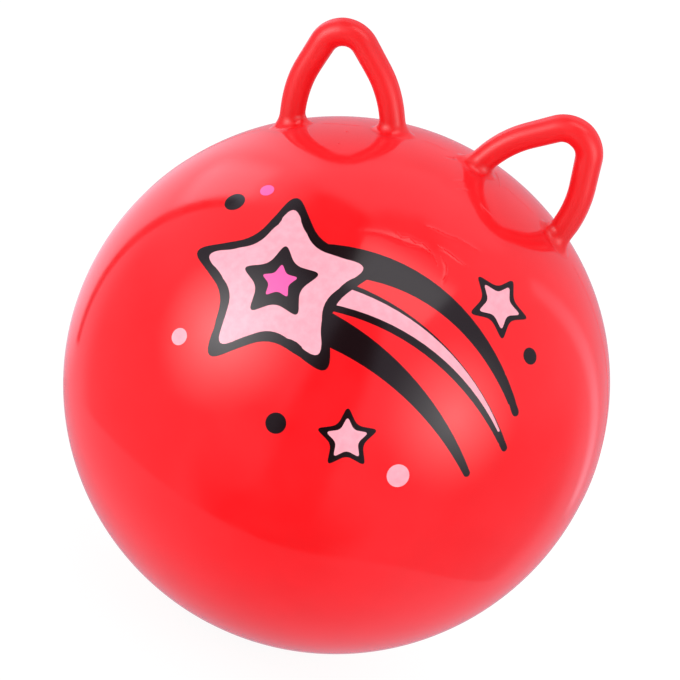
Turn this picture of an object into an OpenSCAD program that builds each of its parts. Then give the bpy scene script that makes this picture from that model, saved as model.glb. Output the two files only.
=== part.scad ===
// Hopper ball: a thin blown vinyl ball to sit and bounce on, with two hollow loop
// handles like ears, and an air valve at the back that a stopper closes.
// The ball stands on the origin, its handles lean out to -X and +X, and the valve
// faces +Y. Left and right are as seen from the front, -Y. Lengths are in millimetres
// and angles in degrees.

/* [Ball] */
// Diameter of the blown-up ball
ball_d = 450; // [400:5:550]
// Thickness of the vinyl skin
skin_t = 1; // [0.8:0.1:2]
// Diameter of the flat that the ball's own weight presses on the floor
flat_d = 48; // [30:1:80]

/* [Handles] */
// Lean of each handle away from upright
handle_lean = 20.2; // [17:0.1:30]
// Height of the tube's centre line above the skin, at the top of a loop
handle_rise = 72.5; // [64:0.5:90]
// Distance between the two legs of a loop, centre to centre on the skin
leg_spacing = 86.2; // [78:0.2:100]
// Lean of each leg towards the other, where it leaves the skin
leg_lean = 8; // [4:0.5:12]
// Length over which a leg stays straight before it bends
leg_run = 13.5; // [12:0.5:17]
// Lean of the straight run between the bend and the top of a loop
slant = 31.2; // [28:0.2:36]
// Radius of the tube's centre line round the top of a loop
crown_r = 20.5; // [16:0.5:26]
// Diameter of the tube at the legs
leg_d = 20.6; // [18:0.1:24]
// Diameter of the tube at the top of a loop, where the hand holds it
grip_d = 22.8; // [20:0.1:26]
// Thickness of the tube's wall
tube_t = 2.2; // [1.2:0.1:4]
// Height of the fillet round each foot
fillet_rise = 9; // [5:0.5:11]
// Width of the fillet on the outside of a loop
fillet_out = 3.5; // [2:0.5:6]
// Width of the fillet on the inside of a loop, where the moulding is fuller
fillet_in = 8; // [3:0.5:10]

/* [Valve] */
// Angle of the valve below the middle of the ball, at its back
valve_drop = 20; // [0:1:40]
// Diameter of the seat where it shows in the skin
seat_d = 24; // [22:1:30]
// Diameter of the seat's flange under the skin
flange_d = 36; // [32:1:48]
// Thickness of the flange at its rim
flange_t = 1.2; // [0.8:0.1:2]
// Thickness that the flange gains towards the barrel
flange_rise = 2.2; // [1:0.1:4]
// Diameter of the seat's barrel inside the ball
barrel_d = 15; // [13:0.5:18]
// Depth of the valve from the skin to the inner end of the barrel
valve_depth = 27; // [24:1:40]
// Bevel round the inner end of the barrel
barrel_bevel = 1.2; // [0.5:0.1:2]
// Diameter of the air bore
bore_d = 7.2; // [5:0.1:8.6]
// Depth of the dish that takes the stopper's head
dish_depth = 2.9; // [2.5:0.1:4]
// Gap between the seat and the skin, filled by the weld
weld_gap = 0.05; // [0.02:0.01:0.2]

/* [Stopper] */
// Diameter of the stopper's head
head_d = 15.6; // [13:0.1:17]
// Thickness of the head at its rim
head_t = 1.4; // [1:0.1:1.8]
// Height of the dome on the head
head_dome = 0.8; // [0.4:0.1:1]
// Diameter of the stem
stem_d = 5.6; // [3.6:0.1:6]
// Length of the stem below the head
stem_len = 20; // [14:1:22]
// Number of sealing rings on the stem
ring_count = 3; // [1:1:4]
// Distance between the sealing rings
ring_pitch = 4.4; // [3:0.1:5]
// Length of the tapered end of the stem
tip_len = 4; // [2:0.5:5]
// Diameter of the tip
tip_d = 3; // [2:0.1:3.4]
// Gap between a sealing ring and the bore
seal_gap = 0.05; // [0.02:0.01:0.1]
// Gap round and below the head in its dish
head_gap = 0.3; // [0.2:0.05:0.5]
// Width of the notch that lets a fingernail under the head
notch_w = 3.6; // [2:0.1:5]

/* [Hidden] */
vinyl_colour = "#ee2f3a";
stopper_colour = "#f4f2ee";
full_turn = 360;
radian = PI / 180;
round_fn = 96;
skin_fn = 360;

// Ball
ball_r = ball_d / 2;
flat_r = flat_d / 2;
centre_z = sqrt(ball_r * ball_r - flat_r * flat_r);
inner_r = ball_r - skin_t;

// Handles: the loop is drawn about the ball's centre in its own plane, with X across
// it and Z outwards. From a foot to the top it has a straight leg, a slow bend, a
// straight slanted run and the round top, and the other half is its mirror image.
leg_r = leg_d / 2;
grip_r = grip_d / 2;
tube_bore_r = leg_r - tube_t;
foot_x = leg_spacing / 2;
foot_z = sqrt(ball_r * ball_r - foot_x * foot_x);
across = [0, 1, 0];
foot = [foot_x, 0, foot_z];
leg_dir = onward(leg_lean);
leg_out = outward(leg_lean);
crown_c = [0, 0, ball_r + handle_rise - crown_r];

// Corner where the lines of the leg and of the slanted run cross, rounded by the bend
leg_reach = (crown_r - (foot - crown_c) * outward(slant)) / (leg_dir * outward(slant));
corner = foot + leg_reach * leg_dir;
slant_reach = (crown_c + crown_r * outward(slant) - corner) * onward(slant);
bend_reach = min(leg_reach - leg_run, slant_reach);
bend_r = bend_reach / tan((slant - leg_lean) / 2);
bend_c = corner - bend_reach * leg_dir - bend_r * leg_out;

// Distances along the centre line at which its four parts end
leg_end = leg_reach - bend_reach;
bend_end = leg_end + bend_r * (slant - leg_lean) * radian;
slant_end = bend_end + slant_reach - bend_reach;
crown_end = slant_end + crown_r * (90 - slant) * radian;

// The leg meets the skin at a slant, which lifts one side of its foot
foot_slant = asin(foot_x / ball_r) + leg_lean;
foot_lift = fillet_rise / cos(foot_slant) + leg_r * tan(foot_slant);
// The tube's rings start clear of the foot, and lie closer together towards the top
clear_share = 1.15;
foot_top = clear_share * foot_lift;
ring_spread = 1.3;
sides = 32;
fillet_steps = 6;
outer_steps = 17;
inner_steps = 9;

// Valve
seat_r = seat_d / 2;
flange_r = flange_d / 2;
barrel_r = barrel_d / 2;
bore_r = bore_d / 2;
dish_r = head_d / 2 + head_gap;
flange_top = inner_r - weld_gap;
flange_low = sqrt(flange_top * flange_top - flange_r * flange_r) - flange_t;
dish_low = ball_r - dish_depth;
barrel_end = ball_r - valve_depth;

// Stopper
head_r = head_d / 2;
stem_r = stem_d / 2;
tip_r = tip_d / 2;
head_low = dish_low + head_gap;
ring_reach = bore_r - seal_gap - stem_r;
first_ring = head_low - ring_pitch / 2 - ring_reach;
// A dome of this radius rises head_dome over the head's width
dome_r = (head_r * head_r + head_dome * head_dome) / (2 * head_dome);

// Directions in the loop's plane, away from the loop's inside and along the centre
// line, where the centre line has turned by an angle from straight outwards
function outward(angle) = [cos(angle), 0, sin(angle)];
function onward(angle) = [-sin(angle), 0, cos(angle)];

// How far the centre line has turned at a distance from the foot
function turned(s) =
    s < leg_end ? leg_lean
    : s < bend_end ? leg_lean + (s - leg_end) / bend_r / radian
    : s < slant_end ? slant
    : slant + (s - slant_end) / crown_r / radian;

// Point of the centre line at a distance from the foot
function on_path(s) =
    s < leg_end ? foot + s * leg_dir
    : s < bend_end ? bend_c + bend_r * outward(turned(s))
    : s < slant_end ? bend_c + bend_r * outward(slant) + (s - bend_end) * onward(slant)
    : crown_c + crown_r * outward(turned(s));

// Radius of the tube, which swells from leg to grip
function tube_r(s) = leg_r + (grip_r - leg_r) * pow(s / crown_end, 3);

// Direction from the centre line to the tube's wall, 0 degrees on the loop's outside
function wall_dir(out, angle) = cos(angle) * out + sin(angle) * across;

// Ring square to the centre line
function tube_ring(s, wall) =
    [for (i = [0:sides - 1])
        on_path(s) + (tube_r(s) - wall) * wall_dir(outward(turned(s)), i * full_turn / sides)];

// Point of the leg's wall at a height over the skin, found along the leg's direction
function foot_point(radius, angle, height) =
    let (p = foot + radius * wall_dir(leg_out, angle), along = p * leg_dir, level = ball_r + height)
    p + (sqrt(along * along - p * p + level * level) - along) * leg_dir;

// Width of the fillet round the foot, full on the inside of the loop
function fillet_w(angle) = fillet_out + (fillet_in - fillet_out) * (1 - cos(angle)) / 2;

// Ring of the foot that follows the ball, from the skin at 0 to the fillet's top at 90
function fillet_ring(turn) =
    [for (i = [0:sides - 1]) let (angle = i * full_turn / sides)
        foot_point(leg_r + fillet_w(angle) * (1 - sin(turn)), angle,
                   weld_gap + fillet_rise * (1 - cos(turn)))];

// Open end of the bore on the skin
function bore_ring() =
    [for (i = [0:sides - 1]) foot_point(tube_bore_r, i * full_turn / sides, weld_gap)];

// Distances of the tube's rings, from the foot's top to the top of the loop
function steps(count) =
    [for (i = [0:count]) crown_end - (crown_end - foot_top) * pow(1 - i / count, ring_spread)];

function mirrored(ring) = [for (p = ring) [-p[0], p[1], p[2]]];

// A half loop's rings and their mirror images, from one foot to the other
function whole_loop(half) =
    concat(half, [for (i = [len(half) - 2:-1:0]) mirrored(half[i])]);

function flat_list(rings) = [for (ring = rings) for (p = ring) p];

// Wall between rings a and b, two triangles a side
function band(a, b) =
    [for (j = [0:sides - 1]) let (k = (j + 1) % sides)
        for (face = [[a + j, b + j, b + k], [a + j, b + k, a + k]]) face];

outer_rings = whole_loop(concat(
    [for (i = [0:fillet_steps]) fillet_ring(90 * i / fillet_steps)],
    [for (s = steps(outer_steps)) tube_ring(s, 0)]));
inner_rings = whole_loop(concat([bore_ring()], [for (s = steps(inner_steps)) tube_ring(s, tube_t)]));
outer_count = len(outer_rings);
inner_count = len(inner_rings);
inner_start = outer_count * sides;
inner_last = inner_start + (inner_count - 1) * sides;

// The outer wall, the inner wall turned inside out, and the rim of each foot
loop_faces = [
    for (i = [0:outer_count - 2]) for (f = band(i * sides, (i + 1) * sides)) f,
    for (i = [0:inner_count - 2])
        for (f = band(inner_start + (i + 1) * sides, inner_start + i * sides)) f,
    for (f = band(inner_start, 0)) f,
    for (f = band(inner_start - sides, inner_last)) f
];

module at_centre() translate([0, 0, centre_z]) children();

// Lean a handle or its bores to one side of the ball
module leaning(side) rotate([0, side * handle_lean, 0]) children();

// Z outwards along the valve, from the ball's centre
module on_valve_axis() at_centre() rotate([-90 - valve_drop, 0, 0]) children();

// Ball of a radius, cut flat at a depth below its centre
module flattened_ball(radius, depth) {
    difference() {
        sphere(r = radius, $fn = skin_fn);
        translate([-radius, -radius, -2 * radius - depth]) cube(2 * radius);
    }
}

// Holes through the skin where the air passes into a handle's two legs
module leg_bores() {
    reach = tube_bore_r + skin_t;
    for (end = [0, 1])
        mirror([end, 0, 0])
            translate(foot - reach * leg_dir)
                rotate([0, -leg_lean, 0]) cylinder(r = tube_bore_r, h = 2 * reach, $fn = round_fn);
}

module ball_skin() {
    color(vinyl_colour)
        difference() {
            at_centre()
                difference() {
                    flattened_ball(ball_r, centre_z);
                    flattened_ball(inner_r, centre_z - skin_t);
                    leaning(-1) leg_bores();
                    leaning(1) leg_bores();
                }
            on_valve_axis()
                translate([0, 0, flange_low]) cylinder(r = seat_r + weld_gap, h = ball_r, $fn = round_fn);
        }
}

module handle(side) {
    color(vinyl_colour)
        at_centre()
            leaning(side)
                polyhedron(points = concat(flat_list(outer_rings), flat_list(inner_rings)), faces = loop_faces);
}

module left_handle() handle(-1);

module right_handle() handle(1);

// Half section of the seat below the skin: a barrel under a tapered flange
module seat_profile() {
    polygon([
        [0, barrel_end], [barrel_r - barrel_bevel, barrel_end], [barrel_r, barrel_end + barrel_bevel],
        [barrel_r, flange_low - flange_rise], [flange_r, flange_low], [flange_r, ball_r], [0, ball_r]
    ]);
}

module valve_seat() {
    color(vinyl_colour)
        on_valve_axis()
            difference() {
                union() {
                    intersection() {
                        sphere(r = ball_r, $fn = skin_fn);
                        translate([0, 0, dish_low]) cylinder(r = seat_r, h = ball_r, $fn = round_fn);
                    }
                    intersection() {
                        sphere(r = flange_top, $fn = skin_fn);
                        rotate_extrude($fn = round_fn) seat_profile();
                    }
                }
                translate([0, 0, dish_low]) cylinder(r = dish_r, h = ball_r, $fn = round_fn);
                cylinder(r = bore_r, h = ball_r, $fn = round_fn);
            }
}

// Half section of the stopper, from its axis outwards
module stopper_profile() {
    intersection() {
        translate([0, head_low - stem_len]) square([head_r, ball_r]);
        union() {
            translate([0, head_low]) square([head_r, head_t]);
            intersection() {
                translate([0, head_low + head_t]) square([head_r, head_dome]);
                translate([0, head_low + head_t + head_dome - dome_r]) circle(dome_r, $fn = round_fn);
            }
            polygon([
                [0, head_low], [stem_r, head_low],
                [stem_r, head_low - stem_len + tip_len], [tip_r, head_low - stem_len],
                [0, head_low - stem_len]
            ]);
            for (i = [0:ring_count - 1])
                translate([stem_r, first_ring - i * ring_pitch]) circle(ring_reach, $fn = round_fn);
        }
    }
}

module valve_plug() {
    color(stopper_colour)
        on_valve_axis()
            difference() {
                rotate_extrude($fn = round_fn) stopper_profile();
                translate([0, head_r, head_low]) cylinder(r = notch_w / 2, h = ball_r, $fn = round_fn);
            }
}

ball_skin();
left_handle();
right_handle();
valve_seat();
valve_plug();
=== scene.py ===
import math

import bpy
import numpy as np
from mathutils import Matrix, Vector
from mathutils.geometry import delaunay_2d_cdt


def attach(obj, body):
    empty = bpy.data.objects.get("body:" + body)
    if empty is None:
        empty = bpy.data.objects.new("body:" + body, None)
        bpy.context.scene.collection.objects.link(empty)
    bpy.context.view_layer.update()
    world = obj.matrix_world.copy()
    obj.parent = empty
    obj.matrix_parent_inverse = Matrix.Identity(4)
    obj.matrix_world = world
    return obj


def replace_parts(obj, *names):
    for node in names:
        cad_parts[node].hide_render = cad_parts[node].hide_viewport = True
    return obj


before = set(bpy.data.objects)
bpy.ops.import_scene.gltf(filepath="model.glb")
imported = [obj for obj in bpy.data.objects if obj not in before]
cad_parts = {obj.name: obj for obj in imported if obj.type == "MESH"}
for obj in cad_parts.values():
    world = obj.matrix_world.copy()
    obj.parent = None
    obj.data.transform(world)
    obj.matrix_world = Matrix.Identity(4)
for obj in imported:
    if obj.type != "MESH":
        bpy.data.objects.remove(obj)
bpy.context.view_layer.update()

# A blown-up vinyl hopper ball with two loop handles. The ball stands on the origin,
# its printed front faces -Y and its valve is at the back. Lengths are in metres, so sizes
# are written in millimetres times mm. Angles are in degrees.

mm = 0.001
fullTurn = 2 * math.pi


# Small helpers

def unit(vector):
    vector = np.asarray(vector, float)
    return vector / np.linalg.norm(vector, axis=-1, keepdims=True)


def smoothStep(low, high, value):
    share = np.clip((value - low) / (high - low), 0, 1)
    return share * share * (3 - 2 * share)


def onGlobe(longitude, latitude):  # 0, 0 is the front; longitude grows towards +X
    a, b = math.radians(longitude), math.radians(latitude)
    return np.array([math.sin(a) * math.cos(b), -math.cos(a) * math.cos(b), math.sin(b)])


def hexColour(code):  # sRGB hex to linear
    parts = [int(code[i:i + 2], 16) / 255 for i in (1, 3, 5)]
    return [c / 12.92 if c <= 0.04045 else ((c + 0.055) / 1.055) ** 2.4 for c in parts] + [1]


def grey(level):
    return (level, level, level, 1)


# Settings that several nodes share
multiply = {"operation": "MULTIPLY"}
distance = {"operation": "DISTANCE"}
easing = {"interpolation_type": "SMOOTHSTEP"}
blendColours = {"data_type": "RGBA"}
blendValues = {"data_type": "FLOAT"}


def addNode(tree, kind, settings=(), **inputs):
    # An input is a value for the node's socket, another node's output, or another node, which
    # then gives the first of its outputs that is in use. A socket is named in words joined
    # by _, or by its number after a letter i.
    node = tree.nodes.new("ShaderNode" + kind)
    for name, value in dict(settings).items():
        setattr(node, name, value)
    for name, value in inputs.items():
        key = int(name[1:]) if name[0] == "i" and name[1:].isdigit() else name.replace("_", " ")
        socket = node.inputs[key]
        if isinstance(value, bpy.types.Node):
            value = next(output for output in value.outputs if output.enabled)
        if isinstance(value, bpy.types.NodeSocket):
            tree.links.new(value, socket)
        else:
            socket.default_value = value
    return node


# Camera: the photo looks down on the ball and is turned, so that the ball leans right

camera = {
    "distance": 2000 * mm,  # to the middle of the ball
    "turn": 5.15,  # towards +X from straight in front
    "rise": 23.0,
    "roll": 22.69,
    "lens": 127.1,  # millimetres on a 36 mm sensor
    "sensor": 36,
    "frame": 680,  # pixels each way
    "ballPixel": (336.3, 383.2),  # where the middle of the ball shows
    "farEnd": 50,  # metres
}

ball = {
    "radius": 225 * mm,
    "flatRadius": 24 * mm,
    "seatHole": 12.05 * mm,  # radius of the hole that the valve seat fills
    "valveDrop": 20,  # below the middle of the back
    "footFade": (6, 20),  # angles from the bottom over which the unevenness fades out
    "valveFade": (8, 40),  # and the same from the valve
}
ball["centre"] = np.array([0, 0, math.sqrt(ball["radius"] ** 2 - ball["flatRadius"] ** 2)])
valveAxis = onGlobe(180, -ball["valveDrop"])


def cameraAxes():  # right, up and back of a camera that looks at the ball's middle
    turn, rise, roll = (math.radians(camera[k]) for k in ("turn", "rise", "roll"))
    back = onGlobe(camera["turn"], camera["rise"])
    level = np.array([math.cos(turn), math.sin(turn), 0])
    above = np.cross(back, level)
    right = math.cos(roll) * level + math.sin(roll) * above
    return right, np.cross(back, right), back


def makeCamera():
    right, up, back = cameraAxes()
    middle = camera["frame"] / 2
    focal = camera["frame"] * camera["lens"] / camera["sensor"]
    across = (camera["ballPixel"][0] - middle) / focal
    down = (camera["ballPixel"][1] - middle) / focal
    aim = unit(back + across * right - down * up)
    side = unit(right - (right @ aim) * aim)
    data = bpy.data.cameras.new("camera")
    data.lens = camera["lens"]
    data.sensor_width = camera["sensor"]
    data.clip_end = camera["farEnd"]
    eye = bpy.data.objects.new("camera", data)
    axes = Matrix([side, np.cross(aim, side), aim]).transposed().to_4x4()
    eye.matrix_world = Matrix.Translation(Vector(ball["centre"] + camera["distance"] * back)) @ axes
    bpy.context.scene.collection.objects.link(eye)
    bpy.context.scene.camera = eye


makeCamera()
print("camera placed")


# Finishes

redVinyl = {
    "colour": "#e6171e",
    "cloud": "#e1141a",  # pigment is a little uneven over a hand's breadth
    "cloudSize": 70 * mm,
    "roughness": (0.08, 0.13),
    # The handles' colours are a darker red than the skin's, as painted shade
    "handleShadedColour": "#e1151b",
    "handleShadedCloud": "#db1117",
    "handleRoughness": 0.265,
    "handleFrom": (0.1 * mm, 2.5 * mm),  # heights over the skin where the handle's finish and its painted shade set in
    "smearSize": 28 * mm,
    "waveSize": 34 * mm,  # the skin is never quite even
    "waveHeight": 0.05 * mm,
    "peelSize": 2.2 * mm,  # orange peel of the mould
    "peelHeight": 0.0025 * mm,
    "ior": 1.53,
    "bloom": 0.32,  # pale red haze that shows where the skin turns away
    "bloomTint": "#ff7284",
    "bloomRoughness": 0.35,
}
ink = {
    "black": "#180a0d",
    "palePink": "#e9a3b1",
    "palePinkThin": "#e698a6",  # where the screen laid less ink
    "brightPink": "#ea579f",
    "mottleSize": 6 * mm,
    "roughness": 0.15,
    "ior": 1.5,
}
stopperPlastic = {
    "colour": "#dbd8d1",
    "roughness": 0.42,
    "grain": 0.9 * mm,  # fine spark grain of the mould, drawn coarse enough to show
    "grainHeight": 0.01 * mm,
    "milkiness": 0.15,
    "depth": 2 * mm,  # how far light runs under the surface
    "ior": 1.51,
}
patchRange = (0.35, 0.65)  # most of a noise lies between these values


def newMaterial(name):
    material = bpy.data.materials.new(name)
    material.use_nodes = True
    tree = material.node_tree
    tree.nodes.clear()
    return material, tree


def patches(tree, size, low=0.0, high=1.0, detail=3.0, roughness=0.5):  # soft patches, about this large
    spot = addNode(tree, "TexCoord").outputs["Object"]  # in metres, and shared by all the pieces
    noise = addNode(tree, "TexNoise", Vector=spot, Scale=1 / size, Detail=detail, Roughness=roughness)
    return addNode(tree, "MapRange", Value=noise, From_Min=patchRange[0], From_Max=patchRange[1],
                   To_Min=low, To_Max=high)


def bumps(tree, size, height, detail=1.0, under=None):  # a low relief, over the one under it
    spot = addNode(tree, "TexCoord").outputs["Object"]
    noise = addNode(tree, "TexNoise", Vector=spot, Scale=1 / size, Detail=detail)
    below = {"Normal": under} if under else {}
    return addNode(tree, "Bump", Height=noise, Distance=height, Strength=1.0, **below)


def skinRelief(tree):  # slow waves of the blown skin under fine orange peel
    waves = bumps(tree, redVinyl["waveSize"], redVinyl["waveHeight"])
    return bumps(tree, redVinyl["peelSize"], redVinyl["peelHeight"], under=waves)


def mouldedVinyl(name, satin):
    # Plasticised PVC, rotation moulded against a polished mould: deep red, wet gloss.
    # The handles are thicker and were handled more, so they are softer in gloss. Their deeper red colour is
    # painted shade.
    material, tree = newMaterial(name)
    cloud = patches(tree, redVinyl["cloudSize"])
    roughness = patches(tree, redVinyl["smearSize"], *redVinyl["roughness"])
    colour = addNode(tree, "Mix", blendColours, Factor=cloud, i6=hexColour(redVinyl["colour"]),
                     i7=hexColour(redVinyl["cloud"]))
    if satin:
        fromMiddle = addNode(tree, "VectorMath", distance, i0=addNode(tree, "TexCoord").outputs["Object"],
                             i1=tuple(ball["centre"]))
        low, high = (ball["radius"] + height for height in redVinyl["handleFrom"])
        satinAndShadeShare = addNode(tree, "MapRange", easing, Value=fromMiddle.outputs["Value"], From_Min=low,
                             From_Max=high)
        roughness = addNode(tree, "Mix", blendValues, Factor=satinAndShadeShare, i2=roughness,
                            i3=redVinyl["handleRoughness"])
        # The handles' darker colour is painted shade, blended in with the satin finish
        shadedHandleColour = addNode(tree, "Mix", blendColours, Factor=cloud, i6=hexColour(redVinyl["handleShadedColour"]),
                       i7=hexColour(redVinyl["handleShadedCloud"]))
        colour = addNode(tree, "Mix", blendColours, Factor=satinAndShadeShare, i6=colour, i7=shadedHandleColour)
    shader = addNode(tree, "BsdfPrincipled", Base_Color=colour, Roughness=roughness,
                     IOR=redVinyl["ior"], Normal=skinRelief(tree), Sheen_Weight=redVinyl["bloom"],
                     Sheen_Roughness=redVinyl["bloomRoughness"], Sheen_Tint=hexColour(redVinyl["bloomTint"]))
    addNode(tree, "OutputMaterial", Surface=shader)
    return material


def screenInk(name, colour, thin=None):
    # Vinyl ink, screen printed and baked: it takes the gloss and waves of the skin
    material, tree = newMaterial(name)
    base = hexColour(colour)
    if thin:
        mottle = patches(tree, ink["mottleSize"], detail=4.0, roughness=0.6)
        base = addNode(tree, "Mix", blendColours, Factor=mottle, i6=base, i7=hexColour(thin))
    shader = addNode(tree, "BsdfPrincipled", Roughness=ink["roughness"], IOR=ink["ior"],
                     Base_Color=base, Normal=skinRelief(tree))
    addNode(tree, "OutputMaterial", Surface=shader)
    return material


def mouldedPolyethylene():
    # Low-density polyethylene, injection moulded: waxy white, satin
    material, tree = newMaterial("LDPE, injection moulded satin")
    grain = bumps(tree, stopperPlastic["grain"], stopperPlastic["grainHeight"], detail=2.0)
    shader = addNode(tree, "BsdfPrincipled", Base_Color=hexColour(stopperPlastic["colour"]),
                     Roughness=stopperPlastic["roughness"], IOR=stopperPlastic["ior"],
                     Subsurface_Weight=stopperPlastic["milkiness"],
                     Subsurface_Scale=stopperPlastic["depth"], Normal=grain)
    addNode(tree, "OutputMaterial", Surface=shader)
    return material


vinyl = mouldedVinyl("soft PVC, rotation moulded gloss", False)
handleVinyl = mouldedVinyl("soft PVC, rotation moulded satin", True)
inkFinish = {
    "black": screenInk("vinyl screen ink, black gloss", ink["black"]),
    "palePink": screenInk("vinyl screen ink, pale pink gloss", ink["palePink"], ink["palePinkThin"]),
    "brightPink": screenInk("vinyl screen ink, bright pink gloss", ink["brightPink"]),
}
stopperFinish = mouldedPolyethylene()
print("finishes made")


# Shape of the skin: a ball that isn't quite round, with crinkles at its front and by its handles

slump = {  # shares of the radius
    "grow": 0.0066,
    "shrink": 0.0160,
    "short": (-116.6, 51.1),  # longitude and latitude of the line along which the ball is short
    "swell": 0.0026,
    "full": (84.4, -23.6),  # this side is a little fuller than the one across
    "triple": 0.0017,
    "corner": (126.5, 50.8),  # one of three slight corners
}
# Each crinkle is a path of longitudes and latitudes, its width and its height in millimetres
crinkles = [
    ([(-6, 53), (0, 54.5), (7, 54.6), (12.5, 54.9), (16, 54.6), (19.5, 52.8)], 2.2, -0.3),
    ([(1, 56.4), (5, 55.5), (8.2, 56.2), (11.2, 55.9), (15.2, 55.7), (18, 54)], 2.2, 0.3),
    ([(13.5, 60.2), (17, 60.2), (22, 59.6), (27, 59.3), (32, 58.6), (36, 57.6)], 1.8, 0.46),
    ([(20, 56), (23, 55.7), (27, 54.5), (31, 53.4)], 1.4, 0.4),
    ([(21.5, 54.2), (23.3, 52), (23.2, 50), (22.6, 48.6)], 1.5, 0.4),
    ([(118, 82.4), (79.5, 84.2), (55, 84.6), (36, 84.8)], 1.2, -0.5),
    ([(45, 70.8), (46, 68.7), (49, 67)], 1.0, 0.2),
    ([(30, 75.6), (36, 76.2), (44, 76.4)], 1.3, 0.3),
    ([(28, 73.3), (33, 73.8), (40, 73.6)], 1.3, -0.3),
]
crinkleReach = 0.95  # cosine of the angle from a crinkle's middle beyond which it does nothing
crinkleEnds = (0.02, 0.98)  # shares of its path beyond which its height stays the same


def crinkleHeight(directions):
    total = np.zeros(len(directions))
    for corners, width, height in crinkles:
        path = np.array([onGlobe(*corner) for corner in corners])
        near = directions @ unit(path.mean(0)) > crinkleReach
        if not near.any():
            continue
        points = directions[near]
        closest = np.full(len(points), np.inf)
        along = np.zeros(len(points))
        for i, (start, end) in enumerate(zip(path[:-1], path[1:])):
            line = end - start
            share = np.clip((points - start) @ line / (line @ line), 0, 1)
            gap = np.linalg.norm(points - start - share[:, None] * line, axis=1)
            better = gap < closest
            closest[better] = gap[better]
            along[better] = (i + share[better]) / (len(path) - 1)
        closest *= ball["radius"] / (width * mm)
        ends = np.sin(np.pi * np.clip(along, *crinkleEnds)) ** 0.5
        total[near] += height * mm * ends * np.exp(-closest ** 2)
    return total


# The handles' pull draws the skin in a little round their feet
dents = {
    "places": [(-90, 71), (90, 71)],
    "depths": (1.6 * mm, 0.7 * mm),
    "spread": 42 * mm,
    "fadeHeight": 45 * mm,  # a handle's parts this high over the skin keep their place
}


def dentDepth(directions):
    total = np.zeros(len(directions))
    for spot, depth in zip(dents["places"], dents["depths"]):
        away = np.linalg.norm(directions - onGlobe(*spot), axis=1) * ball["radius"] / dents["spread"]
        total += depth * np.exp(-away ** 2 / 2)
    return total


def unevenness(directions):  # share by which the skin and what it carries stand out
    short, full, corner = (directions @ onGlobe(*slump[k]) for k in ("short", "full", "corner"))
    share = slump["grow"] - slump["shrink"] * short ** 2 + slump["swell"] * full
    share += slump["triple"] * (4 * corner ** 3 - 3 * corner)
    fromValve = np.degrees(np.arccos(np.clip(directions @ valveAxis, -1, 1)))
    fromBottom = np.degrees(np.arccos(np.clip(-directions[:, 2], -1, 1)))
    return share * smoothStep(*ball["valveFade"], fromValve) * smoothStep(*ball["footFade"], fromBottom)


def skinPoints(directions, lift=0.0):
    radius = ball["radius"] * (1 + unevenness(directions)) - dentDepth(directions)
    radius = radius + crinkleHeight(directions) + lift
    points = ball["centre"] + directions * radius[:, None]
    points[:, 2] = np.maximum(points[:, 2], 0)  # pressed flat on the floor
    return points


def skinNormals(directions):
    step = 0.2 * mm / ball["radius"]  # slopes are taken over this much of the skin
    # The helper is any axis that doesn't lie along the direction
    helper = np.where(abs(directions[:, 2:]) < 0.9, [[0.0, 0, 1]], [[1.0, 0, 0]])
    first = unit(np.cross(helper, directions))
    second = np.cross(directions, first)
    here = skinPoints(directions)
    one = skinPoints(unit(directions + step * first)) - here
    two = skinPoints(unit(directions + step * second)) - here
    return unit(np.cross(one, two))


def makePiece(name, points, faces, material, normals=None, body="ball"):
    mesh = bpy.data.meshes.new(name)
    mesh.from_pydata([tuple(p) for p in points], [], faces)
    mesh.shade_smooth()
    mesh.materials.append(material)
    if normals is not None:
        mesh.normals_split_custom_set_from_vertices([tuple(n) for n in normals])
    piece = bpy.data.objects.new(name, mesh)
    bpy.context.scene.collection.objects.link(piece)
    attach(piece, body)
    return piece


def ringFaces(rings, count, base=0):  # four-sided faces between rings of points that close round
    faces = []
    for ring in range(rings - 1):
        for i in range(count):
            a, b = base + ring * count + i, base + ring * count + (i + 1) % count
            faces.append((a, b, b + count, a + count))
    return faces


# Ball skin: rings round the valve's axis, closer together where the crinkles are

skinGrid = {
    "ring": 1.5,  # degrees between rings, and round them
    "fineRing": 0.33,
    "fineRings": (102, 156),  # degrees from the valve's axis
    "fineSide": 0.42,
    "fineSides": (254, 308),  # degrees round it
}


def gradedSteps(start, stop, fineStart, fineStop, coarse, fine):
    edges = (start, fineStart, fineStop, stop)
    runs = []
    for low, high, step in zip(edges, edges[1:], (coarse, fine, coarse)):
        count = max(1, round((high - low) / step))
        runs.append(np.linspace(low, high, count, endpoint=False))
    return np.concatenate(runs)


def makeSkin():
    first = math.degrees(math.asin(ball["seatHole"] / ball["radius"]))
    rings = np.radians(gradedSteps(first, 180, *skinGrid["fineRings"], skinGrid["ring"],
                                   skinGrid["fineRing"]))
    sides = np.radians(gradedSteps(0, 360, *skinGrid["fineSides"], skinGrid["ring"],
                                   skinGrid["fineSide"]))
    east = np.array([1.0, 0, 0])
    north = np.cross(valveAxis, east)
    across = np.cos(sides)[:, None] * east + np.sin(sides)[:, None] * north
    directions = np.cos(rings)[:, None, None] * valveAxis + np.sin(rings)[:, None, None] * across
    directions = np.vstack([directions.reshape(-1, 3), -valveAxis])
    count, last = len(sides), len(directions) - 1
    faces = [(a, d, c, b) for a, b, c, d in ringFaces(len(rings), count)]
    start = last - count
    faces += [(start + side, last, start + (side + 1) % count) for side in range(count)]
    return makePiece("ballSkin", skinPoints(directions), faces, vinyl, skinNormals(directions))


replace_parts(makeSkin(), "ball_skin")
print("skin blown")


# Handles: the same curves as the solids, finer, and following the uneven skin

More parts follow.
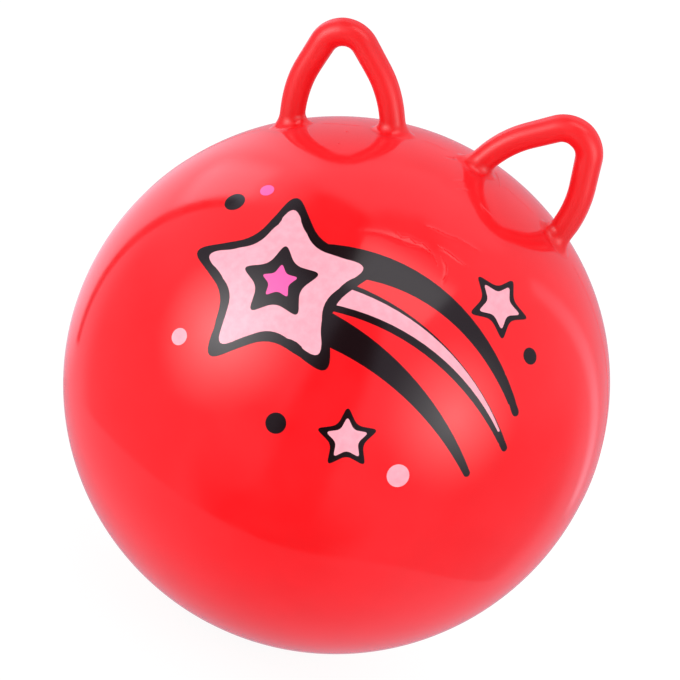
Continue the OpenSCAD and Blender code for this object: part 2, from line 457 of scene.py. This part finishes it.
handle = {
    "lean": 20.2,  # of a whole loop from upright
    "rise": 72.5 * mm,  # of the top of its centre line over the skin
    "legSpacing": 86.2 * mm,
    "legLean": 8.0,
    "legRun": 13.5 * mm,  # straight part of a leg
    "slant": 31.2,  # of the run from the bend to the round top
    "crownRadius": 20.5 * mm,
    "legRadius": 10.3 * mm,
    "gripRadius": 11.4 * mm,
    "filletOut": (9 * mm, 11 * mm),  # how far the foot's fillet reaches over the skin, and up the leg
    "filletIn": (11 * mm, 10 * mm),
    "filletFront": (8 * mm, 9 * mm),
    "stretch": {-1: -0.0046, 1: 0.0009},  # share by which the left and the right loop's top stand out
    "sunk": 0.05 * mm,  # the foot's edge lies this far in the skin
    "footBlend": 0.5 * mm,  # up to this height the foot's shading runs into the skin's
    "tubeStart": 1.02,  # the tube starts this many times as high as the outer fillet ends
    "partingHeight": 0.22 * mm,  # of the parting line along the loop
    "sides": 72,
    "filletSteps": 20,
    "tubeSteps": 50,
}


def outward(angle):
    return np.array([math.cos(math.radians(angle)), 0, math.sin(math.radians(angle))])


def onward(angle):
    return np.array([-math.sin(math.radians(angle)), 0, math.cos(math.radians(angle))])


def handlePath():  # straight leg, slow bend, slanted run and round top
    lean, slant, crownRadius = handle["legLean"], handle["slant"], handle["crownRadius"]
    footX = handle["legSpacing"] / 2
    foot = np.array([footX, 0, math.sqrt(ball["radius"] ** 2 - footX ** 2)])
    crown = np.array([0, 0, ball["radius"] + handle["rise"] - crownRadius])
    legReach = (crownRadius - (foot - crown) @ outward(slant)) / (onward(lean) @ outward(slant))
    corner = foot + legReach * onward(lean)
    slantReach = (crown + crownRadius * outward(slant) - corner) @ onward(slant)
    bendReach = min(legReach - handle["legRun"], slantReach)
    bendRadius = bendReach / math.tan(math.radians(slant - lean) / 2)
    bend = corner - bendReach * onward(lean) - bendRadius * outward(lean)
    legEnd = legReach - bendReach
    bendEnd = legEnd + bendRadius * math.radians(slant - lean)
    slantEnd = bendEnd + slantReach - bendReach
    crownEnd = slantEnd + crownRadius * math.radians(90 - slant)

    def at(s):  # point of the centre line and how far it has turned, at a distance from the foot
        if s < legEnd:
            return foot + s * onward(lean), lean
        if s < bendEnd:
            turned = lean + math.degrees((s - legEnd) / bendRadius)
            return bend + bendRadius * outward(turned), turned
        if s < slantEnd:
            return bend + bendRadius * outward(slant) + (s - bendEnd) * onward(slant), slant
        turned = slant + math.degrees((s - slantEnd) / crownRadius)
        return crown + crownRadius * outward(turned), turned

    return foot, at, crownEnd


def halfLoop():  # rings of points and of normals, from the foot to the top of the loop
    foot, at, end = handlePath()
    legDir, legOut = onward(handle["legLean"]), outward(handle["legLean"])
    angles = np.arange(handle["sides"]) * fullTurn / handle["sides"]
    cosines, sines = np.cos(angles)[:, None], np.sin(angles)[:, None]
    across = np.array([0, 1.0, 0])
    seam = handle["partingHeight"] * (np.abs(sines) < 1e-6)
    width, rise = (np.where(cosines > 0, handle["filletOut"][i], handle["filletIn"][i]) * cosines ** 2
                   + handle["filletFront"][i] * sines ** 2 for i in (0, 1))

    def footRing(turn):
        reach = handle["legRadius"] + width * (1 - math.sin(turn))
        base = foot + reach * (cosines * legOut + sines * across)
        level = ball["radius"] - handle["sunk"] + (rise + handle["sunk"]) * (1 - math.cos(turn))
        along = base @ legDir[:, None]
        slide = np.sqrt(along ** 2 - (base ** 2).sum(1, keepdims=True) + level ** 2) - along
        return base + slide * legDir

    def tubeRing(s):
        middle, turned = at(s)
        radius = handle["legRadius"] + (handle["gripRadius"] - handle["legRadius"]) * (s / end) ** 3
        return middle + (radius + seam) * (cosines * outward(turned) + sines * across)

    slope = math.asin(foot[0] / ball["radius"]) + math.radians(handle["legLean"])
    filletTop = handle["filletOut"][1] / math.cos(slope) + handle["legRadius"] * math.tan(slope)
    footTop = handle["tubeStart"] * filletTop
    turns = np.linspace(0, math.pi / 2, handle["filletSteps"] + 1)
    stations = np.linspace(footTop, end, handle["tubeSteps"] + 1)
    rings, normals = [], []
    # A normal is taken over a small step each way, of an angle at the foot and of a length above
    for makeRing, spots, step in ((footRing, turns, 0.01), (tubeRing, stations, 0.1 * mm)):
        for spot in spots:
            ring = makeRing(spot)
            onwards = makeRing(spot + step) - makeRing(spot - step)
            around = np.roll(ring, -1, 0) - np.roll(ring, 1, 0)
            rings.append(ring)
            normals.append(unit(np.cross(around, onwards)))
    return rings, normals


def makeHandle(name, side, node):
    half, halfNormals = halfLoop()
    mirror = np.array([-1, 1, 1])
    rings = half + [ring * mirror for ring in half[-2::-1]]
    normals = halfNormals + [normal * mirror for normal in halfNormals[-2::-1]]
    lean = math.radians(side * handle["lean"])
    turn = np.array([[math.cos(lean), 0, math.sin(lean)], [0, 1, 0], [-math.sin(lean), 0, math.cos(lean)]])
    points = np.vstack(rings) @ turn.T
    normals = np.vstack(normals) @ turn.T
    directions = unit(points)
    height = np.linalg.norm(points, axis=1) - ball["radius"]
    free = smoothStep(0, dents["fadeHeight"], height)
    share = unevenness(directions) * (1 - free) + handle["stretch"][side] * free
    pull = dentDepth(directions) * (1 - free)
    points = ball["centre"] + points * (1 + share)[:, None] - pull[:, None] * directions
    blend = smoothStep(0, handle["footBlend"], height)[:, None]
    normals = unit(blend * normals + (1 - blend) * skinNormals(directions))
    piece = makePiece(name, points, ringFaces(len(rings), handle["sides"]), handleVinyl, normals)
    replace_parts(piece, node)


makeHandle("leftHandle", -1, "left_handle")
makeHandle("rightHandle", 1, "right_handle")
print("handles set on the skin")


# Parting line of the mould's two halves, the small pips of its vents and the sharp folds of the skin

partingLine = {
    "width": 1.3 * mm,
    "height": 0.2 * mm,
    "step": 0.5,  # degrees
    "gap": 0.5,  # degrees between a handle's foot and the line
}
ventPips = {
    "radius": 0.9 * mm,
    "height": 0.35 * mm,
    "places": [(-73.3, 71.3), (-54.8, 68.5), (90, 77.2)],  # longitudes and latitudes
    "sides": 16,
    "levels": 4,
}
ridge = {"sunk": 0.06 * mm, "taper": 3}  # its edges' depth in the skin, and the steps it sinks over
# Each fold is a path of longitudes and latitudes, its width and its height in millimetres
folds = [
    ([(-4, 53.6), (3, 54.6), (7, 54.7), (9.5, 53.9), (12.5, 54.8), (16, 54.5), (18.5, 53.6),
      (20.5, 51.8)], 1.7, 0.3),
    ([(4, 56.3), (6.5, 55.2), (9, 56.1), (11.5, 55.3), (14, 55.8), (17.5, 54.6), (20.2, 52.6)], 2.0, 0.36),
    ([(13.5, 60.2), (17, 60.2), (22, 59.6), (27, 59.3), (32, 58.6), (36, 57.6)], 1.6, 0.24),
    ([(19, 56.6), (23, 55.7), (27, 54.5), (31, 53.4)], 1.6, 0.26),
    ([(20.6, 54.6), (23.3, 52.2), (23.4, 50.4), (22.4, 48.8)], 1.6, 0.26),
    ([(112, 76), (101, 75.5), (91, 74.9), (82, 74.1)], 1.6, 0.3),
]
foldShape = {
    "wobble": ((0.3 * mm, 4.2 * mm), (0.15 * mm, 1.9 * mm)),  # how far a fold strays, and how often
    "step": 0.8 * mm,
    "smoothing": 2,  # times that its path is smoothed
}


def addRidge(points, faces, path, width, height):  # a low ridge along a path of directions
    count = len(path)
    aside = unit(np.cross(path, np.gradient(path, axis=0))) * (width / 2 / ball["radius"])
    steps = np.arange(count)
    taper = np.clip(np.minimum(steps, count - 1 - steps) / ridge["taper"], 0, 1)
    base = len(points)
    left = skinPoints(unit(path + aside), -ridge["sunk"])
    crest = skinPoints(path, height * taper - ridge["sunk"] * (1 - taper))
    right = skinPoints(unit(path - aside), -ridge["sunk"])
    points += [p for row in zip(left, crest, right) for p in row]
    for i in range(count - 1):
        a = base + 3 * i
        faces += [(a, a + 3, a + 4, a + 1), (a + 1, a + 4, a + 5, a + 2)]


def makeFolds():
    points, faces = [], []
    for corners, width, height in folds:
        corners = np.array([onGlobe(*corner) for corner in corners])
        reach = np.linalg.norm(np.diff(corners, axis=0), axis=1) * ball["radius"]
        along = np.concatenate([[0], np.cumsum(reach)])
        stations = np.linspace(0, along[-1], round(along[-1] / foldShape["step"]) + 1)
        path = np.stack([np.interp(stations, along, corners[:, axis]) for axis in range(3)], 1)
        side = unit(np.cross(path, np.gradient(path, axis=0)))
        stray = sum(size * np.sin(fullTurn * stations / length) for size, length in foldShape["wobble"])
        path = path + side * (stray / ball["radius"])[:, None]
        for _ in range(foldShape["smoothing"]):
            path[1:-1] = (path[:-2] + 2 * path[1:-1] + path[2:]) / 4
        addRidge(points, faces, unit(path), width * mm, height * mm)
    makePiece("folds", points, faces, vinyl).data.shade_flat()  # so that the crests stay sharp


def makePartingLine():
    footAngle = math.degrees(math.asin(handle["legSpacing"] / 2 / ball["radius"]))
    inner, outer = (math.degrees((handle["legRadius"] + handle[k][0]) / ball["radius"]) + partingLine["gap"]
                    for k in ("filletIn", "filletOut"))
    near, far = handle["lean"] - footAngle, handle["lean"] + footAngle
    bottom = 180 - math.degrees(math.asin(ball["flatRadius"] / ball["radius"]))
    spans = [(outer - near, near - outer), (near + inner, far - inner), (inner - far, -near - inner),
             (far + outer, bottom), (-bottom, -far - outer)]
    points, faces = [], []
    for start, stop in spans:
        count = round((stop - start) / partingLine["step"])
        angles = np.radians(np.linspace(start, stop, count + 1))
        middle = np.stack([np.sin(angles), 0 * angles, np.cos(angles)], 1)
        addRidge(points, faces, middle, partingLine["width"], partingLine["height"])
    makePiece("partingLine", points, faces, vinyl)


def makeVentPips():
    points, faces = [], []
    sides, levels = ventPips["sides"], ventPips["levels"]
    angles = np.arange(sides) * fullTurn / sides
    for spot in ventPips["places"]:
        up = onGlobe(*spot)
        east = unit(np.cross([0, 0, 1.0], up))
        north = np.cross(up, east)
        base = len(points)
        for level in range(levels):
            turn = math.pi / 2 * level / levels
            reach = ventPips["radius"] / ball["radius"] * math.cos(turn)
            ring = unit(up + reach * (np.cos(angles)[:, None] * east + np.sin(angles)[:, None] * north))
            points += list(skinPoints(ring, ventPips["height"] * math.sin(turn)))
        points += list(skinPoints(up[None], ventPips["height"]))
        faces += ringFaces(levels, sides, base)
        top, row = base + levels * sides, base + (levels - 1) * sides
        faces += [(row + i, row + (i + 1) % sides, top) for i in range(sides)]
    makePiece("ventPips", points, faces, vinyl)


makePartingLine()
makeVentPips()
makeFolds()
print("mould marks and folds added")


# Print on the front: a shooting star, drawn in millimetres on a sheet that wraps the ball

printSheet = {
    "centre": (4, 33),  # longitude and latitude of the sheet's middle
    "grid": 4.5,  # millimetres between the points inside a shape
    "layer": 0.07 * mm,  # each layer of ink lies this far over the one below
    "cornerShare": 0.48,  # a rounded corner takes at most this share of each of its sides
}


def onCurve(start, bend, end, t):  # point of a quadratic curve
    return (1 - t) ** 2 * start + 2 * t * (1 - t) * bend + t * t * end


def softCorners(corners, cut, steps=7):  # rounds each corner with a curve
    corners = [np.array(c, float) for c in corners]
    outline = []
    for i, corner in enumerate(corners):
        sides = [other - corner for other in (corners[i - 1], corners[(i + 1) % len(corners)])]
        start, end = (corner + unit(side) * min(cut, np.linalg.norm(side) * printSheet["cornerShare"])
                      for side in sides)
        outline += [onCurve(start, corner, end, t) for t in np.linspace(0, 1, steps)]
    return outline


def star(x, y, size, turn, soft, waist=0.5):
    corners = []
    for i in range(10):
        reach = size if i % 2 == 0 else size * waist
        angle = math.radians(90 + turn + 36 * i)
        corners.append((x + reach * math.cos(angle), y + reach * math.sin(angle)))
    return softCorners(corners, soft)


def dot(x, y, size, sides=28):
    return [(x + size * math.cos(fullTurn * i / sides), y + size * math.sin(fullTurn * i / sides))
            for i in range(sides)]


def tail(start, bend, end, wide, narrow, steps=22, tipSteps=7):  # a stripe that narrows along a curve
    start, bend, end = (np.array(p, float) for p in (start, bend, end))
    one, other = [], []
    for t in np.linspace(0, 1, steps):
        middle = onCurve(start, bend, end, t)
        slope = unit((1 - t) * (bend - start) + t * (end - bend))
        aside = np.array([slope[1], -slope[0]])
        half = (wide + (narrow - wide) * t) / 2
        one.append(middle + half * aside)
        other.append(middle - half * aside)
    tip = [end + narrow / 2 * (math.cos(a) * slope + math.sin(a) * aside)
           for a in np.linspace(math.pi / 2, -math.pi / 2, tipSteps)[1:-1]]
    return one + tip + other[::-1]


# Ink, layer and outline of each printed shape
printed = [
    ("black", 1, tail((-66, 34), (42, 90), (146, 2), 30, 7)),
    ("black", 1, tail((-66, 12), (44, 46), (150, -28), 30, 6)),
    ("black", 1, tail((-66, -6), (36, 6), (128, -60), 30, 6)),
    ("palePink", 2, tail((-66, 12), (44, 46), (138, -18), 19, 2)),
    ("black", 3, star(-66, 16, 84, 14, 16, 0.52)),
    ("palePink", 4, star(-66, 16, 70, 14, 13, 0.52)),
    ("black", 5, star(-66, 16, 33, 14, 7, 0.52)),
    ("brightPink", 6, star(-66, 16, 15, 14, 3, 0.52)),
    ("black", 1, star(98, 74, 30, -10, 6)),
    ("palePink", 2, star(98, 74, 21, -10, 4)),
    ("black", 1, star(28, -74, 25, 22, 5)),
    ("palePink", 2, star(28, -74, 17, 22, 3.5)),
    ("black", 1, dot(-26, -84, 8)),
    ("palePink", 1, dot(76, -84, 9)),
    ("black", 1, dot(-134, 74, 9)),
    ("brightPink", 1, dot(-112, 92, 6)),
    ("palePink", 1, dot(-126, -50, 7)),
    ("black", 1, dot(140, 50, 7)),
]


def printPatch(outline):  # triangles inside an outline, small enough to follow the ball
    edge = np.array(outline, float)
    low, high = edge.min(0), edge.max(0)
    inside = [(x, y) for x in np.arange(low[0], high[0], printSheet["grid"])
              for y in np.arange(low[1], high[1], printSheet["grid"])]
    vectors = [Vector(p) for p in list(map(tuple, edge)) + inside]
    ring = [(i, (i + 1) % len(edge)) for i in range(len(edge))]
    insideOnly, tolerance = 1, 1e-5
    points, _, faces, *_ = delaunay_2d_cdt(vectors, ring, [], insideOnly, tolerance)
    used = sorted({i for face in faces for i in face})
    number = {old: new for new, old in enumerate(used)}
    return np.array([points[i] for i in used]), [tuple(number[i] for i in face) for face in faces]


def wrapOnBall(flat):
    middle = onGlobe(*printSheet["centre"])
    east = unit(np.cross([0, 0, 1.0], middle))
    north = np.cross(middle, east)
    flat = flat * mm
    reach = np.linalg.norm(flat, axis=1)
    bend = (reach / ball["radius"])[:, None]
    along = (flat[:, :1] * east + flat[:, 1:] * north) / np.maximum(reach, 1e-9)[:, None]
    return np.cos(bend) * middle + np.sin(bend) * along


def makePrint():
    for colour in ("black", "palePink", "brightPink"):
        points, normals, faces = [], [], []
        for shapeInk, layer, outline in printed:
            if shapeInk != colour:
                continue
            flat, patch = printPatch(outline)
            directions = wrapOnBall(flat)
            base = sum(len(p) for p in points)
            for a, b, c in patch:
                turned = np.cross(flat[b] - flat[a], flat[c] - flat[a]) < 0
                faces.append((base + a, base + c, base + b) if turned else (base + a, base + b, base + c))
            points.append(skinPoints(directions, layer * printSheet["layer"]))
            normals.append(skinNormals(directions))
        makePiece(colour + "Print", np.vstack(points), faces, inkFinish[colour], np.vstack(normals))


makePrint()
print("front printed")


# The valve's seat and stopper keep their shape and get their finish

for nodeName, finish in (("valve_seat", vinyl), ("valve_plug", stopperFinish)):
    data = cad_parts[nodeName].data
    data.materials.clear()
    data.materials.append(finish)


# Studio: a white table on a white floor in a pale room, with two soft lamps in front and a
# panel overhead

studio = {
    "roomLight": (0.75, 1.05),  # how strongly the room lights the pieces, from eye level and from above
    "roomRise": (0.0, 0.9),  # sines of the rises between which the one passes into the other
    "backdrop": 1.8,  # how many times more light comes from behind, as from a lit backdrop
    "backdropDepth": (0.0, 0.8),  # shares of +Y in a direction, where that sets in and where it is full
    "tint": (0.96, 0.965, 1.13),  # the room is a little blue in the gloss
    "tableShine": (0.22, 0.5),  # how bright the table looks in the gloss, in front of the ball and elsewhere
    "tableShade": (50 * mm, -370 * mm, 330 * mm),  # where it is darkest, and how far the shade reaches
    "roomShine": 0.5,
    "paint": 0.95,  # of the floor and table, as they light the pieces
    "seenPaint": 0.1,  # and as the camera sees them: dim paint that takes the shadow
    "seenGlow": 0.93,  # and a glow that makes up the white
    "floorRadius": 4000 * mm,
    "floorDrop": 0.5 * mm,
    "tableDrop": 0.2 * mm,
    "tableLeft": 385 * mm,
    "tableRight": 370 * mm,
    "tableDepth": 355 * mm,
    "leftCorners": 2.0,  # 2 is round, more is squarer
    "rightCorners": 3.0,
    "cornerBlend": 0.3,  # cosine of the angle at which the rim takes on those corners in full
}
# Parts of the room that look brighter or darker in the gloss: the bearings they span at
# eye level, the rises they span, how far they tilt, how softly they end, and their level.
# A later one covers those before it.
roomParts = {
    "darkWalls": ((-116, 128), (-90, 8), 0, 18, 0.31),
    "backGlow": ((-180, -124), (45, 74), 0, 10, 0.67),
    "backGlowRight": ((138, 180), (47, 74), 0, 10, 0.68),
    "shadeUpLeft": ((-120, -28), (55, 79), 0, 8, 0.04),
    "ceilingBack": ((-180, -118), (76, 90), 0, 9, 0.26),
    "ceilingBackRight": ((112, 180), (73, 90), 0, 9, 0.27),
    "darkGap": ((-8, 18), (-90, 58), 0, 9, 0.0),
    "darkFloor": ((-34, 40), (-90, -28), 0, 26, 0.0),
    "leftBox": ((-156, -123), (-26, 46), 0.38, 12, 0.95),
    "leftBoxGlow": ((-143, -124), (10, 37), 0.38, 9, 1.72),
    "leftBoxEdge": ((-125, -120), (-26, 32), 0.38, 1, 0.05),
    "rightBox": ((139, 146), (-22, 38), -0.28, 5, 0.95),
}
lamps = {
    # bearing and rise seen from the ball, distance and radius of the disc in mm, level at its middle
    "frontLeft": (-46, 19, 1500, 960, 4.4),
    "frontRight": (56, 20, 1500, 880, 2.9),
}
lampFade = 1.6  # more is brighter in the middle and softer at the rim
ceilingPanel = {
    "middle": (250, -530, 1600),  # millimetres from the ball's middle
    "size": (1060, 850),
    "level": 1.2,
    "frontFade": 0.35,  # share of its depth
}


def makeLight(name, shape, size, middle, aim, levelAt):  # levelAt gives the level at a spot of the lamp
    light = bpy.data.lights.new(name, "AREA")
    light.shape = shape
    light.size = size[0] * mm
    light.size_y = size[1] * mm
    light.energy = math.pi * size[0] * size[1] * mm * mm * (math.pi / 4 if shape == "DISK" else 1)
    light.use_nodes = True
    tree = light.node_tree
    tree.nodes.clear()
    spot = addNode(tree, "NewGeometry").outputs["Parametric"]
    glow = addNode(tree, "Emission", Strength=levelAt(tree, spot))
    addNode(tree, "OutputLight", Surface=glow)
    lamp = bpy.data.objects.new(name, light)
    lamp.location = Vector(ball["centre"]) + Vector(middle) * mm
    lamp.rotation_euler = Vector(aim).to_track_quat("Z", "Y").to_euler()
    lamp.visible_camera = False
    bpy.context.scene.collection.objects.link(lamp)


def makeLamp(name, bearing, rise, reach, radius, level):  # a disc that fades to its rim
    def levelAt(tree, spot):  # a spot runs from 0 to 1 each way
        fromMiddle = addNode(tree, "VectorMath", distance, i0=spot, i1=(0.5, 0.5, 0))
        inward = addNode(tree, "MapRange", Value=fromMiddle.outputs["Value"], From_Min=0.5, From_Max=0.0)
        fade = addNode(tree, "Math", {"operation": "POWER"}, i0=inward, i1=lampFade)
        return addNode(tree, "Math", multiply, i0=fade, i1=level)

    aim = onGlobe(bearing, rise)
    makeLight(name, "DISK", (2 * radius, 2 * radius), reach * aim, aim, levelAt)


def makeCeilingPanel():  # its back edge is crisp and its front edge fades
    def levelAt(tree, spot):
        depth = addNode(tree, "SeparateXYZ", Vector=spot).outputs["Y"]
        return addNode(tree, "MapRange", easing, Value=depth, From_Min=0.0,
                       From_Max=ceilingPanel["frontFade"], To_Min=0.0, To_Max=ceilingPanel["level"])

    makeLight("ceilingPanel", "RECTANGLE", ceilingPanel["size"], ceilingPanel["middle"], (0, 0, 1), levelAt)


def span(tree, value, low, high, soft):  # 1 between low and high, and 0 outside them
    half = soft / 2
    rising = addNode(tree, "MapRange", easing, Value=value, From_Min=low - half, From_Max=low + half)
    falling = addNode(tree, "MapRange", easing, Value=value, From_Min=high - half, From_Max=high + half,
                      To_Min=1.0, To_Max=0.0)
    return addNode(tree, "Math", multiply, i0=rising, i1=falling)


def roomShine(tree, direction):  # level of the room in the gloss, along a direction
    parts = addNode(tree, "SeparateXYZ", Vector=direction).outputs
    ahead = addNode(tree, "Math", multiply, i0=parts["Y"], i1=-1.0)
    across = addNode(tree, "Math", {"operation": "ARCTAN2"}, i0=parts["X"], i1=ahead)
    bearing = addNode(tree, "Math", {"operation": "DEGREES"}, i0=across)
    climb = addNode(tree, "Math", {"operation": "ARCSINE"}, i0=parts["Z"])
    rise = addNode(tree, "Math", {"operation": "DEGREES"}, i0=climb)
    level = studio["roomShine"]
    for bearings, rises, tilt, soft, shine in roomParts.values():
        upright = bearing
        if tilt:
            leant = addNode(tree, "Math", multiply, i0=rise, i1=tilt)
            upright = addNode(tree, "Math", {"operation": "SUBTRACT"}, i0=bearing, i1=leant)
        # An end at half a turn, or straight up or down, is moved out so that it doesn't fade
        wide = span(tree, upright, *(b if abs(b) < 180 else 2 * b for b in bearings), soft)
        high = span(tree, rise, *(r if abs(r) < 90 else 2 * r for r in rises), soft)
        both = addNode(tree, "Math", multiply, i0=wide, i1=high)
        level = addNode(tree, "Mix", blendValues, Factor=both, i2=level, i3=shine)
    return level


def glossOrGlass(tree, rays):
    return addNode(tree, "Math", {"operation": "MAXIMUM"}, i0=rays["Is Glossy Ray"],
                   i1=rays["Is Transmission Ray"])


def makeWorld():
    world = bpy.data.worlds.new("studio")
    bpy.context.scene.world = world
    world.use_nodes = True
    tree = world.node_tree
    tree.nodes.clear()
    rays = addNode(tree, "LightPath").outputs
    mirrored = glossOrGlass(tree, rays)
    direction = addNode(tree, "TexCoord").outputs["Generated"]
    parts = addNode(tree, "SeparateXYZ", Vector=direction).outputs
    low, high = studio["roomRise"]
    level, overhead = studio["roomLight"]
    above = addNode(tree, "MapRange", easing, Value=parts["Z"], From_Min=low, From_Max=high,
                    To_Min=level, To_Max=overhead)
    near, far = studio["backdropDepth"]
    behind = addNode(tree, "MapRange", easing, Value=parts["Y"], From_Min=near, From_Max=far,
                     To_Min=1.0, To_Max=studio["backdrop"])
    soft = addNode(tree, "Math", multiply, i0=above, i1=behind)
    strength = addNode(tree, "Mix", blendValues, Factor=mirrored, i2=soft, i3=roomShine(tree, direction))
    colour = addNode(tree, "Mix", blendColours, Factor=mirrored, i6=grey(1), i7=(*studio["tint"], 1))
    room = addNode(tree, "Background", Color=colour, Strength=strength)
    white = addNode(tree, "Background", Color=grey(1), Strength=1.0)
    both = addNode(tree, "MixShader", i0=rays["Is Camera Ray"], i1=room, i2=white)
    addNode(tree, "OutputWorld", Surface=both)


def makeGround(name, rim, drop, mirrored):
    # White to the camera but for the ball's soft shadow. The gloss sees it as mirrored gives it.
    mesh = bpy.data.meshes.new(name)
    mesh.from_pydata([(x, y, 0) for x, y in rim], [], [tuple(range(len(rim)))])
    ground = bpy.data.objects.new(name, mesh)
    ground.location.z = -drop
    bpy.context.scene.collection.objects.link(ground)
    material, tree = newMaterial("white painted " + name)
    mesh.materials.append(material)
    rays = addNode(tree, "LightPath").outputs
    seen = addNode(tree, "AddShader", i0=addNode(tree, "BsdfDiffuse", Color=grey(studio["seenPaint"])),
                   i1=addNode(tree, "Emission", Strength=studio["seenGlow"]))
    plain = addNode(tree, "BsdfDiffuse", Color=grey(studio["paint"]))
    unseen = addNode(tree, "MixShader", i0=glossOrGlass(tree, rays), i1=plain, i2=mirrored(tree))
    both = addNode(tree, "MixShader", i0=rays["Is Camera Ray"], i1=unseen, i2=seen)
    addNode(tree, "OutputMaterial", Surface=both)


def tableRim(sides=144):
    rim = []
    for angle in np.arange(sides) * fullTurn / sides:
        x, y = math.cos(angle), math.sin(angle)
        side, corners = ("tableRight", "rightCorners") if x > 0 else ("tableLeft", "leftCorners")
        power = 2 + (studio[corners] - 2) * smoothStep(0, studio["cornerBlend"], abs(x))
        reach = (abs(x) ** power + abs(y) ** power) ** (-1 / power)
        rim.append((reach * x * studio[side], reach * y * studio["tableDepth"]))
    return rim


def shadedTable(tree):
    x, y, reach = studio["tableShade"]
    spot = addNode(tree, "TexCoord").outputs["Object"]
    away = addNode(tree, "VectorMath", distance, i0=spot, i1=(x, y, 0))
    low, high = studio["tableShine"]
    level = addNode(tree, "MapRange", easing, Value=away.outputs["Value"], From_Min=0.0, From_Max=reach,
                    To_Min=low, To_Max=high)
    return addNode(tree, "Emission", Color=(*studio["tint"], 1), Strength=level)


def makeFloor(sides=96):  # the gloss sees the room through the floor, and the table as it is
    angles = np.arange(sides) * fullTurn / sides
    floorRim = studio["floorRadius"] * np.stack([np.cos(angles), np.sin(angles)], 1)
    makeGround("floor", floorRim, studio["floorDrop"], lambda tree: addNode(tree, "BsdfTransparent"))
    makeGround("table", tableRim(), studio["tableDrop"], shadedTable)


makeWorld()
makeFloor()
makeCeilingPanel()
for lampName, lampPlace in lamps.items():
    makeLamp(lampName, *lampPlace)
bpy.context.scene.view_settings.view_transform = "Standard"
print("studio lit")
